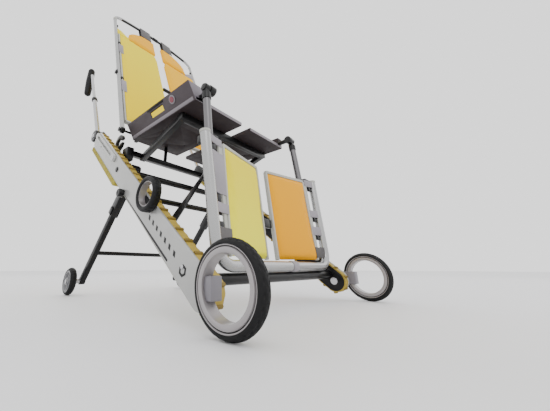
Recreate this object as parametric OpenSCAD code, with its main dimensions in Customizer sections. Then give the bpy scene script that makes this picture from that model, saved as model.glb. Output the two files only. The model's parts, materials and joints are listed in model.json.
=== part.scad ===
// Stair chair: a tracked, wheeled carrying chair for taking a seated patient
// down stairs. Two sloping track arms carry the wheels and the staff handles,
// and a detachable scoop (seat, backrest and leg rest) sits on a cradle between them.
// Axes: +X to the patient's left, -Y forward, +Z up. The ground is Z = 0.
// Inside the modules Y is measured from the front wheels' axle.

/* [Front wheels] */
// Outer radius of the hubless front wheels
front_wheel_r = 65; // [60:0.5:70]
// Distance from the middle plane to the middle of a front wheel
front_wheel_x = 297; // [297:0.5:305]
// Width of a front tyre
front_tyre_w = 22.8; // [18:0.2:23]

/* [Rear wheels] */
// Outer radius of the rear wheels
rear_wheel_r = 44.6; // [40:0.1:46]
// Distance from the middle plane to the middle of a rear wheel
rear_wheel_x = 246.5; // [244:0.5:247]
// Width of a rear tyre
rear_tyre_w = 21; // [16:0.5:22]

/* [Track arms] */
// Slope of the track arms
arm_angle = 39; // [36:0.5:42]
// Distance between the two pulleys of an arm
arm_len = 760; // [740:1:765]
// Outer radius of a track where it runs round a pulley
track_r = 31.5; // [30:0.5:32]
// Thickness of a track
track_t = 5; // [4:0.5:6]
// Spacing of the lugs along a track
lug_pitch = 38; // [30:1:60]

/* [Scoop] */
// Width of the two seat plates together
seat_w = 426; // [416:1:426]
// Gap between the two halves of the seat
seat_gap = 44; // [10:1:60]
// Lean of the backrest away from upright
back_lean = 21; // [15:0.5:24]
// Radius of the backrest tube
back_tube_r = 8; // [7:0.5:9]
// Radius of the leg frame tube
leg_tube_r = 11.5; // [10:0.5:12]

/* [Hidden] */
$fn = 64;
fine = 0.3;                // gap between faces of parts that move past each other
run = 0.05;                // radial clearance of a running fit

// front axle, nose pulley and arm
nose_y = 78.5;
nose_z = 52.4;
belt_x = [253.8, 273.6];
plate_x = [250, 253.4];
cover_x = [274.2, 281];
cover_r = 31.2;
plate_r = 27.5;
pulley_r = track_r - track_t - fine;
axle_r = 6;
lug_h = 3.5;

// hubless wheel
hub_ring_r = [44, 49];
rim_r = [hub_ring_r[1] + run, 56];
rim_half = 10;

// staff handles, measured from the clamp at the top of the arm
clamp_along = 822;
clamp_r = 24;
staff_x = 265;
staff_angle = 60.5;
sleeve_r = [7.3, 9.5];
sleeve_end = 270;
collar_end = 288;
staff_tube = [140, 520];
grip_r = 17;
grip_low = [993, 925];
grip_high = [1000, 1062];

// rear struts
strut_along = 540;
strut_x = 206;
strut_angle = -49.3;
strut_len = 458.3;
upper_strut_end = 180;
lower_leg_start = 85;
leg_bar_at = 336;

// cross members: place along the arm, height above its middle line, and radius
upper_bar = [440, 18, 9.5];
middle_bar = [284, 18, 7];
front_bar = [24, 2, 11];
brace_start = [-250, 181, 20];
brace_run = [335, 377, 27];

// cradle and seat
cradle_front = [269, 496];
cradle_rear = [480, 430];
cradle_x = 192;
cradle_w = 20;
rail_w = 18;
rear_bar = [490, 440];
seat_z = [507, 519];
seat_y = [190, 525];
seat_half = seat_w / 2;
rail_lean = atan2(cradle_rear[1] - cradle_front[1], cradle_rear[0] - cradle_front[0]);
rail_len = norm(cradle_rear - cradle_front);

// side box
box_y = [190, 522];
box_top_z = 555;
box_top_x = 241;
box_lean = atan2(box_top_x - seat_half, box_top_z - seat_z[0]);
button_at = [271, 36];
button_r = 8;
slot_y = [318, 386];
slot_z = [527, 545];
// recess in the top of the box behind the slot
recess_y = [312, 440];
recess_x = [203, 236];
recess_floor = 523;

// backrest
hinge = [534, 535];
back_half = 251;
back_straight = 835;
back_corner_r = 50;
back_turn = 76;
arch_r = (back_half - back_corner_r) / cos(back_turn) + back_corner_r;
arch_z = back_straight - arch_r * sin(back_turn) + back_corner_r * sin(back_turn);
back_panel_x = [17, 240];
back_panel_z = [48, 690];
back_panel_t = 14;
pad_x = [22, 177];

// leg rest
elbow = [150, 522];
stub_x = 203;
hanger_x = 212;
leg_top = [109, 366];
leg_lean = 4.85;
leg_half = 249;
leg_taper = 3.56;
leg_corner_r = 45;
leg_drop = 275;
leg_centre_x = leg_half - (leg_drop - leg_corner_r) * tan(leg_taper)
    - leg_corner_r / cos(leg_taper);
leg_panel_w = 172;
leg_panel_h = 252;
leg_panel_t = 11;
leg_panel_turn = 10;

// the origin is under the middle of the whole object
origin_y = -(grip_high[0] + grip_r - front_wheel_r) / 2;

// ---- helpers ----

// Places the parts so that the origin lies under the middle of the object.
module placed() {
    translate([0, origin_y, 0]) children();
}

// The children are drawn on the left (+X); side -1 mirrors them to the right.
module on_side(side) {
    placed() {
        if (side > 0) children();
        else mirror([1, 0, 0]) children();
    }
}

module both_sides() {
    on_side(1) children();
    on_side(-1) children();
}

// Arm frame: local Y runs up along the arm, local Z stands off its upper edge.
module on_arm(along = 0, perp = 0) {
    translate([0, nose_y, nose_z]) rotate([arm_angle, 0, 0]) translate([0, along, perp])
        children();
}

// Extrudes an outline drawn in the Y-Z plane along X.
module slab_x(x) {
    translate([x[0], 0, 0]) rotate([90, 0, 90]) linear_extrude(x[1] - x[0]) children();
}

module rod_x(x, r) {
    translate([x[0], 0, 0]) rotate([0, 90, 0]) cylinder(h = x[1] - x[0], r = r);
}

// Outline with two round ends, from one centre along the first axis.
module stadium(len, r) {
    translate([0, -r]) square([len, 2 * r]);
    circle(r);
    translate([len, 0]) circle(r);
}

module tube_between(z, r_in, r_out) {
    translate([0, 0, z[0]]) difference() {
        cylinder(h = z[1] - z[0], r = r_out);
        translate([0, 0, -1]) cylinder(h = z[1] - z[0] + 2, r = r_in);
    }
}

// Part of a ring tube in the X-Z plane, from one angle to another.
module arc_tube(ring_r, r, from, to) {
    rotate([90, 0, 0]) rotate([0, 0, from]) rotate_extrude(angle = to - from)
        translate([ring_r, 0]) circle(r);
}

module on_front_axle() {
    translate([0, 0, front_wheel_r]) children();
}

module on_clamp() {
    on_arm(clamp_along) rotate([-arm_angle, 0, 0]) children();
}

// Staff handle frame: local Z runs up the handle.
module on_staff() {
    on_clamp() translate([staff_x, 0, 0]) rotate([staff_angle - 90, 0, 0]) children();
}

// Strut frame: local Y runs from the pivot down to the rear axle.
module on_strut() {
    on_arm(strut_along) rotate([strut_angle - arm_angle, 0, 0]) children();
}

module on_back() {
    translate([0, hinge[0], hinge[1]]) rotate([-back_lean, 0, 0]) children();
}

module on_leg() {
    translate([0, leg_top[0], leg_top[1]]) rotate([-leg_lean, 0, 0]) children();
}

// Outer face of the side box on the right: local Z points out of the face.
module on_box_face() {
    translate([-seat_half, 0, seat_z[0]]) rotate([0, -90 - box_lean, 0]) children();
}

// ---- track arms ----

module arm_cover() {
    color("gainsboro") on_arm() difference() {
        slab_x(cover_x) translate([0, 1.5]) stadium(arm_len, cover_r);
        slab_x([cover_x[0] - 1, cover_x[1] - 2]) translate([0, 1.5]) stadium(arm_len, cover_r - 2);
        slab_x([cover_x[1] - 1.2, cover_x[1] + 1]) translate([105, -21]) rotate(-1.2)
            stadium(270, 2.6);
    }
}

module lugs() {
    for (y = [lug_pitch / 2 : lug_pitch : arm_len])
        for (side = [-1, 1])
            translate([y - 3, side > 0 ? track_r - 1 : -track_r - lug_h]) square([6, lug_h + 1]);
    for (end = [0, 1])
        for (a = [0 : 60 : 120])
            translate([end * arm_len, 0]) rotate(a + (end == 0 ? 120 : -60))
                translate([track_r - 1, -3]) square([lug_h + 1, 6]);
}

module track() {
    color("goldenrod") on_arm() slab_x(belt_x) difference() {
        union() {
            stadium(arm_len, track_r);
            lugs();
        }
        stadium(arm_len, track_r - track_t);
    }
}

module inner_plate() {
    color("black") on_arm() slab_x(plate_x) difference() {
        stadium(clamp_along, plate_r);
        circle(axle_r);
        translate([arm_len, 0]) circle(axle_r);
    }
}

module arm_beam() {
    color("silver") on_arm() slab_x([belt_x[0], belt_x[1]]) translate([48, -20])
        square([arm_len - 96, 40]);
}

module pulley(along) {
    color("dimgray") on_arm(along) difference() {
        rod_x([belt_x[0] + fine, belt_x[1] - fine], pulley_r);
        rod_x([belt_x[0] - 1, belt_x[1] + 1], axle_r + run);
    }
}

module pulley_axle(along) {
    color("silver") on_arm(along) {
        rod_x([plate_x[0], cover_x[1] - 2], axle_r);
        rod_x([plate_x[0] - 3, plate_x[0]], axle_r + 4);
    }
}

module bumper() {
    lip = 1.5 - cover_r + track_r + lug_h + 9 + fine;
    color("olive") on_arm(470, -track_r - lug_h - 9 - fine) {
        slab_x([255, cover_x[0]]) square([315, 9]);
        slab_x([cover_x[0], cover_x[1]]) square([290, lip]);
    }
}

// Round grip on the outer face, held by a foot on the cover.
module ring_grip() {
    color("black") difference() {
        union() {
            translate([283, 245.5, 243]) rotate([0, 90, 0]) rotate_extrude() {
                translate([27, 0]) square([13.7, 14]);
                translate([33.85, 14]) circle(5.8);
            }
            on_arm() slab_x([cover_x[1], 284]) translate([228, 8]) square([44, 22]);
        }
        translate([281.5, 245.5, 243]) rotate([0, 90, 0]) cylinder(h = 30, r = 27);
    }
}

module arm_knobs_one() {
    color("black") {
        on_arm(389, -27) rod_x([cover_x[1], 295], 11);
        on_arm(489, 1) rod_x([cover_x[1], 283.5], 8);
        on_arm(strut_along) rod_x([strut_x + 12 + fine, plate_x[0]], 12);
        on_arm(strut_along) rod_x([strut_x - 14, strut_x + 12 + fine], axle_r);
        on_arm(strut_along) rod_x([strut_x - 17, strut_x - 14], 12);
    }
}

module cover_screw(along, perp) {
    color("dimgray") on_arm(along, perp) rod_x([cover_x[1], cover_x[1] + 1.5], 4);
}

// ---- front wheels ----

module hub_ring() {
    color("gainsboro") on_front_axle() translate([front_wheel_x, 0, 0]) rotate([0, 90, 0]) {
        tube_between([-rim_half - fine, rim_half + fine], hub_ring_r[0], hub_ring_r[1]);
        for (z = [-rim_half - 1.2, rim_half + fine])
            tube_between([z, z + 0.9], hub_ring_r[0], hub_ring_r[1] + 2.5);
    }
}

module front_rim() {
    color("silver") on_front_axle() translate([front_wheel_x, 0, 0]) rotate([0, 90, 0])
        tube_between([-rim_half, rim_half], rim_r[0], rim_r[1]);
}

module front_tyre() {
    color("black") on_front_axle() translate([front_wheel_x, 0, 0]) rotate([0, 90, 0])
        rotate_extrude() intersection() {
            translate([front_wheel_r - 13, 0]) circle(13);
            translate([rim_r[1], -front_tyre_w / 2]) square([20, front_tyre_w]);
        }
}

// Clamp that holds the fixed ring of a front wheel to the nose of the arm.
module wheel_bracket() {
    color("gray") intersection() {
        translate([cover_x[1], 28, 44]) cube([23, 40, 34]);
        union() {
            translate([cover_x[1], 28, 44]) cube([3.4, 40, 34]);
            on_front_axle() rod_x([cover_x[1], 305], hub_ring_r[0]);
        }
    }
}

// ---- cross members ----

module cross_bar(bar) {
    color("black") placed() on_arm(bar[0], bar[1]) rod_x([-plate_x[0], plate_x[0]], bar[2]);
}

// Diagonal brace in the plane of the arms, from the rear bar down to the right arm.
module brace() {
    color("black") placed() difference() {
        on_arm(brace_start[1], brace_start[2]) translate([brace_start[0], 0, 0])
            rotate([0, 0, -atan2(brace_run[0], brace_run[1])])
                rotate([asin(brace_run[2] / norm(brace_run)), 0, 0])
                    translate([-7, -20, -7]) cube([14, norm(brace_run) + 40, 14]);
        on_arm(upper_bar[0], upper_bar[1]) rod_x([-260, 260], upper_bar[2]);
        on_arm(middle_bar[0], middle_bar[1]) rod_x([-260, 260], middle_bar[2]);
        translate([-300, rear_bar[0] - 8, 0]) cube([600, 100, 600]);
        translate([-plate_x[0] - 100, 0, 0]) cube([100, 600, 600]);
    }
}

module cradle_frame() {
    color("black") placed() difference() {
        union() {
            translate([-cradle_x, cradle_front[0], seat_z[0] - fine] - [1, 1, 2] * cradle_w / 2)
                cube([2 * cradle_x + cradle_w, cradle_w, cradle_w]);
            for (side = [-1, 1])
                translate([side * cradle_x - rail_w / 2, cradle_front[0], cradle_front[1]])
                    rotate([rail_lean, 0, 0]) translate([0, 2, -8.5])
                        cube([rail_w, rail_len + 20, 16]);
        }
        translate([-300, rear_bar[0] - 8, 0]) cube([600, 100, 600]);
    }
}

module cradle_rear_bar() {
    color("black") placed() {
        translate([-228, rear_bar[0] - 8, rear_bar[1] - 9]) cube([456, 18, 18]);
        for (side = [-1, 1]) {
            translate([side * 98, rear_bar[0], rear_bar[1] + 9])
                cylinder(h = seat_z[0] - fine - rear_bar[1] - 9, r = 6);
            translate([side * 239 - 11, rear_bar[0] - 16, rear_bar[1] - 30]) cube([22, 36, 44]);
        }
    }
}

// C-shaped hook that the rear corner of the scoop drops into.
module dock_hook() {
    color("black") difference() {
        union() {
            slab_x([232, 241]) translate([572, 503]) circle(30);
            slab_x([232, 241]) translate([572, 440]) square([26, 60]);
            on_arm() slab_x([241, 250]) translate([618, -12]) square([46, 30]);
        }
        slab_x([230, 243]) translate([572, 503]) circle(14);
        slab_x([230, 243]) translate([530, 497]) square([42, 12]);
    }
}

// ---- staff handles ----

module staff_sleeve() {
    color("silver") difference() {
        on_staff() tube_between([10, sleeve_end], sleeve_r[0], sleeve_r[1]);
        on_clamp() rod_x([240, 290], clamp_r);
    }
    color("black") difference() {
        on_clamp() rod_x([plate_x[1], 283], clamp_r);
        on_clamp() rod_x([plate_x[1] - 1, 290], 8);
    }
}

module staff_collar() {
    color("black") on_staff() tube_between([sleeve_end, collar_end], sleeve_r[0], 12.5);
}

module staff_tube() {
    color("silver") on_staff() tube_between(staff_tube, 5.2, sleeve_r[0] - run);
}

module staff_grip() {
    lean = atan2(grip_high[0] - grip_low[0], grip_high[1] - grip_low[1]);
    color("black") difference() {
        translate([staff_x, grip_low[0], grip_low[1]]) rotate([-lean, 0, 0]) {
            cylinder(h = norm(grip_high - grip_low) - grip_r, r = grip_r);
            sphere(grip_r);
            translate([0, 0, norm(grip_high - grip_low) - grip_r]) sphere(grip_r);
        }
        on_staff() cylinder(h = staff_tube[1], r = sleeve_r[0] - run);
    }
}

// Patient's hand bar, folded down against the outer face of the arm.
module patient_bar() {
    color("lightgray") on_arm(540, 17) slab_x([cover_x[1] + fine, cover_x[1] + 6]) difference() {
        stadium(226, 11);
        circle(4 + run);
        translate([30, 0]) stadium(180, 5);
    }
}

module patient_pin() {
    color("dimgray") on_arm(540, 17) {
        rod_x([cover_x[1], cover_x[1] + 6 + fine], 4);
        rod_x([cover_x[1] + 6 + fine, cover_x[1] + 8], 8);
    }
}

// ---- rear struts and wheels ----

module upper_strut() {
    color("black") on_strut() difference() {
        union() {
            translate([strut_x - 12, 0, -14]) cube([24, upper_strut_end, 28]);
            rod_x([strut_x - 12, strut_x + 12], 14);
        }
        translate([strut_x - 9.3, 22, -10.3]) cube([18.6, upper_strut_end, 20.6]);
        rod_x([strut_x - 13, strut_x + 13], axle_r + run);
    }
}

module lower_leg() {
    color("black") on_strut() {
        translate([strut_x - 9, lower_leg_start, -10])
            cube([18, strut_len - lower_leg_start, 20]);
        translate([0, strut_len, 0]) rod_x([strut_x - 9, strut_x + 9], 12);
    }
}

module leg_bar() {
    color("black") placed() on_strut() translate([0, leg_bar_at, 0])
        rod_x([9 - strut_x, strut_x - 9], 7);
}

module rear_axle() {
    color("silver") on_strut() translate([0, strut_len, 0]) {
        rod_x([strut_x + 9, rear_wheel_x + 11.5], 5);
        rod_x([strut_x + 9, rear_wheel_x - 11], 8);
        rod_x([rear_wheel_x + 11, rear_wheel_x + 13], 8);
    }
}

module rear_rim() {
    color("gray") on_strut() translate([rear_wheel_x, strut_len, 0]) rotate([0, 90, 0])
        difference() {
            union() {
                tube_between([-9, 9], 30, 36);
                cylinder(h = 20, r = 12, center = true);
                for (a = [0 : 72 : 288])
                    rotate([0, 0, a]) translate([10, -3, -4]) cube([22, 6, 8]);
            }
            cylinder(h = 40, r = 5 + run, center = true);
        }
}

module rear_tyre() {
    color("black") on_strut() translate([rear_wheel_x, strut_len, 0]) rotate([0, 90, 0])
        rotate_extrude() intersection() {
            translate([rear_wheel_r - 11, 0]) circle(11);
            translate([36, -rear_tyre_w / 2]) square([20, rear_tyre_w]);
        }
}

// ---- scoop ----

module seat_plate() {
    color("dimgray") difference() {
        translate([seat_gap / 2, seat_y[0], seat_z[0]])
            cube([seat_half - seat_gap / 2, seat_y[1] - seat_y[0], seat_z[1] - seat_z[0]]);
        for (x = [60, 160])
            for (y = [330, 430])
                translate([x, y, seat_z[0] - 1]) cylinder(h = 9, r = 3.4);
    }
}

module seat_corner_block() {
    color("lightgray") translate([190, seat_y[0], seat_z[1]]) cube([seat_half - 190, 26, 26]);
}

module side_box() {
    color("slategray") placed() difference() {
        union() {
            translate([0, box_y[1], 0]) rotate([90, 0, 0]) linear_extrude(box_y[1] - box_y[0])
                polygon([
                    [-seat_half - 0.1, seat_z[0]], [-box_top_x, box_top_z],
                    [-box_top_x + 44, box_top_z], [-172, seat_z[1]],
                    [-seat_half - 0.1, seat_z[1]]
                ]);
            on_box_face() translate([button_at[1], button_at[0], -2]) cylinder(h = 3.5, r = 12);
        }
        translate([-260, slot_y[0], slot_z[0]])
            cube([100, slot_y[1] - slot_y[0], slot_z[1] - slot_z[0]]);
        translate([0, recess_y[1], 0]) rotate([90, 0, 0]) linear_extrude(recess_y[1] - recess_y[0])
            polygon([
                [-recess_x[0], recess_floor], [5 - seat_half - 9, recess_floor],
                [-recess_x[1], box_top_z + 0.5], [-recess_x[1], box_top_z + 5],
                [-recess_x[0], box_top_z + 5]
            ]);
        on_box_face() translate([button_at[1], button_at[0], -14])
            cylinder(h = 20, r = button_r + run);
    }
}

module push_button() {
    color("firebrick") placed() on_box_face() translate([button_at[1], button_at[0], -9])
        cylinder(h = 13, r = button_r);
}

// Stub and eye at a front corner of the seat, with the pin of the leg rest.
module leg_stub() {
    color("black") {
        translate([stub_x - 8.5, elbow[0] + 7, elbow[1]]) rotate([-90, 0, 0])
            cylinder(h = seat_y[0] - elbow[0] - 7, r = 8);
        translate([0, elbow[0], elbow[1]]) {
            rod_x([stub_x - 17.5, stub_x], 13);
            rod_x([stub_x, hanger_x + 8], 5);
            rod_x([hanger_x + 8, hanger_x + 10], 9);
        }
    }
}

// Lugs behind the seat with the pin that the backrest turns on.
module back_lug() {
    color("black") {
        translate([192, seat_y[1], seat_z[0]]) cube([10, 12, 22]);
        slab_x([192, 202]) translate(hinge) circle(10);
        translate([0, hinge[0], hinge[1]]) rod_x([202, 262], 4);
        translate([0, hinge[0], hinge[1]]) rod_x([262, 264], 8);
    }
}

module back_tube() {
    color("silver") on_back() difference() {
        union() {
            translate([back_half, 0, 5]) cylinder(h = back_straight - 5, r = back_tube_r);
            rod_x([back_half - 7, back_half + 7], 11);
            translate([back_half, 0, back_straight - 8]) cylinder(h = 16, r = back_tube_r + 1);
            translate([back_half - back_corner_r, 0, back_straight])
                arc_tube(back_corner_r, back_tube_r, 0, back_turn);
            translate([0, 0, arch_z]) {
                arc_tube(arch_r, back_tube_r, back_turn, 90);
                rotate([0, 90 - back_turn, 0]) translate([0, 0, arch_r]) rod_x([-8, 8], back_tube_r + 1);
            }
        }
        rod_x([200, 300], 4 + run);
    }
}

module back_panel() {
    color("gold") on_back() translate([0, back_panel_t / 2, 0]) rotate([90, 0, 0])
        linear_extrude(back_panel_t) polygon([
            [back_panel_x[0], back_panel_z[0]], [back_panel_x[1], back_panel_z[0]],
            [back_panel_x[1], back_panel_z[1]], [back_panel_x[0] + 14, back_panel_z[1]],
            [back_panel_x[0], back_panel_z[1] - 60]
        ]);
}

module head_pad() {
    color("orange") on_back() translate([0, back_panel_t / 2, 0]) rotate([90, 0, 0])
        linear_extrude(back_panel_t) intersection() {
            translate([pad_x[0], back_panel_z[1] + 2]) square([pad_x[1] - pad_x[0], 160]);
            translate([60, back_panel_z[1] - 50]) circle(190);
        }
}

module leg_frame() {
    side_len = (leg_drop - leg_corner_r) / cos(leg_taper);
    color("silver") {
        difference() {
            translate([0, elbow[0], elbow[1]]) union() {
                rod_x([stub_x + fine, hanger_x + 8 - fine], 13);
                translate([stub_x + fine, -8, -24]) cube([hanger_x + 8 - stub_x - 2 * fine, 16, 20]);
            }
            translate([0, elbow[0], elbow[1]]) rod_x([190, 230], 5 + run);
        }
        translate([hanger_x, elbow[0] - 2, elbow[1] - 22]) rotate([180 - 5.5, 0, 0])
            cylinder(h = 132, r = 10);
        on_leg() {
            translate([leg_half, 0, 0]) rotate([0, 180 + leg_taper, 0])
                {
                    cylinder(h = side_len, r = leg_tube_r);
                    translate([0, 0, side_len - 10]) cylinder(h = 20, r = leg_tube_r + 1);
                }
            translate([leg_centre_x, 0, leg_corner_r - leg_drop])
                arc_tube(leg_corner_r, leg_tube_r, -90, -leg_taper);
            translate([0, 0, -leg_drop]) {
                rod_x([0, leg_centre_x], leg_tube_r);
                rod_x([leg_centre_x - 10, leg_centre_x + 10], leg_tube_r + 1);
            }
        }
        translate([206, leg_top[0] + 1, leg_top[1] - 16]) cube([36, 34, 20]);
    }
}

module leg_panel() {
    color("yellow") on_leg() translate([22, 32, -leg_panel_h - 8]) rotate([0, 0, -leg_panel_turn])
        cube([leg_panel_w, leg_panel_t, leg_panel_h]);
}

// ---- nodes ----

on_side(-1) arm_cover();  // arm_cover_right
on_side(1) arm_cover();  // arm_cover_left
on_side(-1) track();  // track_right
on_side(1) track();  // track_left
on_side(-1) ring_grip();  // ring_grip_right
on_side(1) ring_grip();  // ring_grip_left
both_sides() inner_plate();  // inner_plates
both_sides() arm_beam();  // arm_beams
both_sides() bumper();  // bumpers
both_sides() hub_ring();  // hub_rings
both_sides() wheel_bracket();  // wheel_brackets
both_sides() for (a = [0, arm_len]) pulley_axle(a);  // pulley_axles
union() {  // cross_bars
    cross_bar(upper_bar);
    cross_bar(middle_bar);
}
cross_bar(front_bar);
brace();
cradle_frame();
cradle_rear_bar();
both_sides() dock_hook();  // dock_hooks
both_sides() arm_knobs_one();  // arm_knobs
both_sides() staff_sleeve();  // staff_sleeves
both_sides() staff_collar();  // staff_collars
both_sides() {  // cover_screws
    for (a = [60, 700]) cover_screw(a, 0);
    patient_pin();
}
on_side(-1) front_rim();  // front_rim_right
on_side(1) front_rim();  // front_rim_left
on_side(-1) front_tyre();  // front_tyre_right
on_side(1) front_tyre();  // front_tyre_left
on_side(-1) pulley(0);  // nose_pulley_right
on_side(1) pulley(0);  // nose_pulley_left
on_side(-1) pulley(arm_len);  // top_pulley_right
on_side(1) pulley(arm_len);  // top_pulley_left
both_sides() upper_strut();  // upper_struts
both_sides() lower_leg();  // lower_legs
leg_bar();
both_sides() rear_axle();  // rear_axles
on_side(-1) rear_rim();  // rear_rim_right
on_side(1) rear_rim();  // rear_rim_left
on_side(-1) rear_tyre();  // rear_tyre_right
on_side(1) rear_tyre();  // rear_tyre_left
on_side(-1) staff_tube();  // staff_tube_right
on_side(1) staff_tube();  // staff_tube_left
on_side(-1) staff_grip();  // staff_grip_right
on_side(1) staff_grip();  // staff_grip_left
on_side(-1) patient_bar();  // patient_bar_right
on_side(1) patient_bar();  // patient_bar_left
on_side(-1) seat_plate();  // seat_right
on_side(1) {  // seat_left
    seat_plate();
    seat_corner_block();
}
side_box();
push_button();
both_sides() leg_stub();  // leg_stubs
both_sides() back_lug();  // back_lugs
on_side(-1) back_tube();  // back_tube_right
on_side(1) back_tube();  // back_tube_left
on_side(-1) back_panel();  // back_panel_right
on_side(1) back_panel();  // back_panel_left
both_sides() head_pad();  // head_pads
on_side(-1) leg_frame();  // leg_frame_right
on_side(1) leg_frame();  // leg_frame_left
on_side(-1) leg_panel();  // leg_panel_right
on_side(1) leg_panel();  // leg_panel_left
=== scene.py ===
"""Looks of the stair chair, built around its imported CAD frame. Lengths are in metres."""

import json
import math

import bmesh
import bpy
from mathutils import Matrix, Vector


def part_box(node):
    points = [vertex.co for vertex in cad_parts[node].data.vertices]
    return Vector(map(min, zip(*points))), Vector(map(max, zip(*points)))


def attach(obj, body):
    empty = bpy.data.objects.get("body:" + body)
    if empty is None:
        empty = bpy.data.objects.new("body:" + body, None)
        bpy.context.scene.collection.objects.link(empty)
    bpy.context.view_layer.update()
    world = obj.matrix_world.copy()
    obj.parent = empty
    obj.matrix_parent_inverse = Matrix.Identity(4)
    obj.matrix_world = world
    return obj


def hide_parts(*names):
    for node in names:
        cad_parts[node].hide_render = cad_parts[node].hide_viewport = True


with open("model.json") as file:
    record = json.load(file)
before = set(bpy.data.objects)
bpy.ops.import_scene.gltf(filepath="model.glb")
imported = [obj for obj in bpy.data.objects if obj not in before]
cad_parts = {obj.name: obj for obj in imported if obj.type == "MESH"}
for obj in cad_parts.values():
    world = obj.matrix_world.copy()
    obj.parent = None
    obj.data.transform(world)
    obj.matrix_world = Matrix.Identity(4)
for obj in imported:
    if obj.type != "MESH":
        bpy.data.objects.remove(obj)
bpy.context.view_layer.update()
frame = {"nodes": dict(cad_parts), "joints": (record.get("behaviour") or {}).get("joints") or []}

SIDES = (("right", -1), ("left", 1))
HERE = Matrix.Identity(4)

# ---- places, from the frame's joints and boxes; every X is on the left, +X side ----

JOINTS = {j["name"]: j for j in frame["joints"]}


def joint_at(name):
    """The place of a joint that turns."""
    return Vector(JOINTS[name]["pos_m"])


AXLE = joint_at("front_wheel_left_spin")
NOSE = joint_at("nose_pulley_left_spin")
TOP = joint_at("top_pulley_left_spin")
ARM_LEN = (TOP - NOSE).length
ARM_ANGLE = math.atan2(TOP.z - NOSE.z, TOP.y - NOSE.y)
HINGE = joint_at("back_fold")
ELBOW = joint_at("leg_raise")
STRUT_PIVOT = joint_at("strut_fold")
REAR_AXLE = joint_at("rear_wheel_left_spin")
BACK_LEAN = math.radians(21)
LEG_LEAN = math.radians(4.85)
STAFF_ANGLE = math.radians(60.5)
CLAMP_ALONG = 0.822     # the staff clamp's place along the arm
LEG_TOP_Y, LEG_TOP_Z = 0.109, 0.366     # top of the leg rest's tubes, Y from the axle
COVER_X = (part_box("arm_cover_left")[0].x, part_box("arm_cover_left")[1].x)
TRACK_X = (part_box("track_left")[0].x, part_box("track_left")[1].x)
SEAT_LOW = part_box("seat_left")[0]
SEAT_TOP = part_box("seat_right")[1].z
BOX_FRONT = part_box("side_box")[0].y

# each matrix puts a part's own Y and Z in the frame; ARM's Y runs up the arm

ARM = Matrix.Translation((0, NOSE.y, NOSE.z)) @ Matrix.Rotation(ARM_ANGLE, 4, "X")
BACK = Matrix.Translation((0, HINGE.y, HINGE.z)) @ Matrix.Rotation(-BACK_LEAN, 4, "X")
LEG = (Matrix.Translation((0, LEG_TOP_Y + AXLE.y, LEG_TOP_Z))
       @ Matrix.Rotation(-LEG_LEAN, 4, "X"))
CLAMP = ARM @ Vector((0, CLAMP_ALONG, 0))
STAFF = Matrix.Translation(CLAMP) @ Matrix.Rotation(STAFF_ANGLE - math.pi / 2, 4, "X")
STRUT_ANGLE = math.atan2(REAR_AXLE.z - STRUT_PIVOT.z, REAR_AXLE.y - STRUT_PIVOT.y)
STRUT = Matrix.Translation(STRUT_PIVOT) @ Matrix.Rotation(STRUT_ANGLE, 4, "X")


# ---- materials ----

COAT_ROUGHNESS = 0.12
DULL = 0.22     # specular level of the black parts
GRAIN_DEPTH = 0.0002


def shader(name, color, rough, metallic=0.0, coat=0.0, sheen=0.0, spec=0.5):
    """A Principled material with its constant values on the shader's own sockets."""
    m = bpy.data.materials.new(name)
    m.use_nodes = True
    s = m.node_tree.nodes["Principled BSDF"]
    s.inputs["Base Color"].default_value = (*color, 1)
    s.inputs["Roughness"].default_value = rough
    s.inputs["Metallic"].default_value = metallic
    s.inputs["Coat Weight"].default_value = coat
    s.inputs["Coat Roughness"].default_value = COAT_ROUGHNESS
    s.inputs["Sheen Weight"].default_value = sheen
    s.inputs["Specular IOR Level"].default_value = spec
    return m, m.node_tree, s


def add(tree, kind, **values):
    """A node of a kind, with values for its sockets or its own properties."""
    n = tree.nodes.new(kind)
    for key, value in values.items():
        if key in n.inputs:
            n.inputs[key].default_value = value
        else:
            setattr(n, key, value)
    return n


def coordinates(tree, scale=(1, 1, 1)):
    place = add(tree, "ShaderNodeTexCoord")
    mapping = add(tree, "ShaderNodeMapping")
    mapping.inputs["Scale"].default_value = scale
    tree.links.new(place.outputs["Object"], mapping.inputs["Vector"])
    return mapping.outputs["Vector"]


def noise(tree, vector, scale, detail=4.0, rough=0.55):
    n = add(tree, "ShaderNodeTexNoise", Scale=scale, Detail=detail, Roughness=rough)
    tree.links.new(vector, n.inputs["Vector"])
    return n.outputs["Fac"]


def ramp(tree, value, stops):
    """A colour read from (position, colour) stops by a value."""
    r = add(tree, "ShaderNodeValToRGB")
    elements = r.color_ramp.elements
    while len(elements) < len(stops):
        elements.new(0.5)
    for e, (at, color) in zip(elements, stops):
        e.position = at
        e.color = (*color, 1)
    tree.links.new(value, r.inputs["Fac"])
    return r.outputs["Color"]


def tinted(tree, s, value, color, spread):
    """Base colour that varies a little, darker and lighter than color."""
    dark = tuple(c * (1 - spread) for c in color)
    light = tuple(min(1, c * (1 + spread)) for c in color)
    tree.links.new(ramp(tree, value, [(0.3, dark), (0.7, light)]), s.inputs["Base Color"])


def varied_roughness(tree, s, value, low, high):
    r = add(tree, "ShaderNodeMapRange")
    r.inputs["To Min"].default_value = low
    r.inputs["To Max"].default_value = high
    tree.links.new(value, r.inputs["Value"])
    tree.links.new(r.outputs["Result"], s.inputs["Roughness"])


def bumped(tree, s, height, strength, distance):
    b = add(tree, "ShaderNodeBump", Strength=strength, Distance=distance)
    tree.links.new(height, b.inputs["Height"])
    tree.links.new(b.outputs["Normal"], s.inputs["Normal"])


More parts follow.
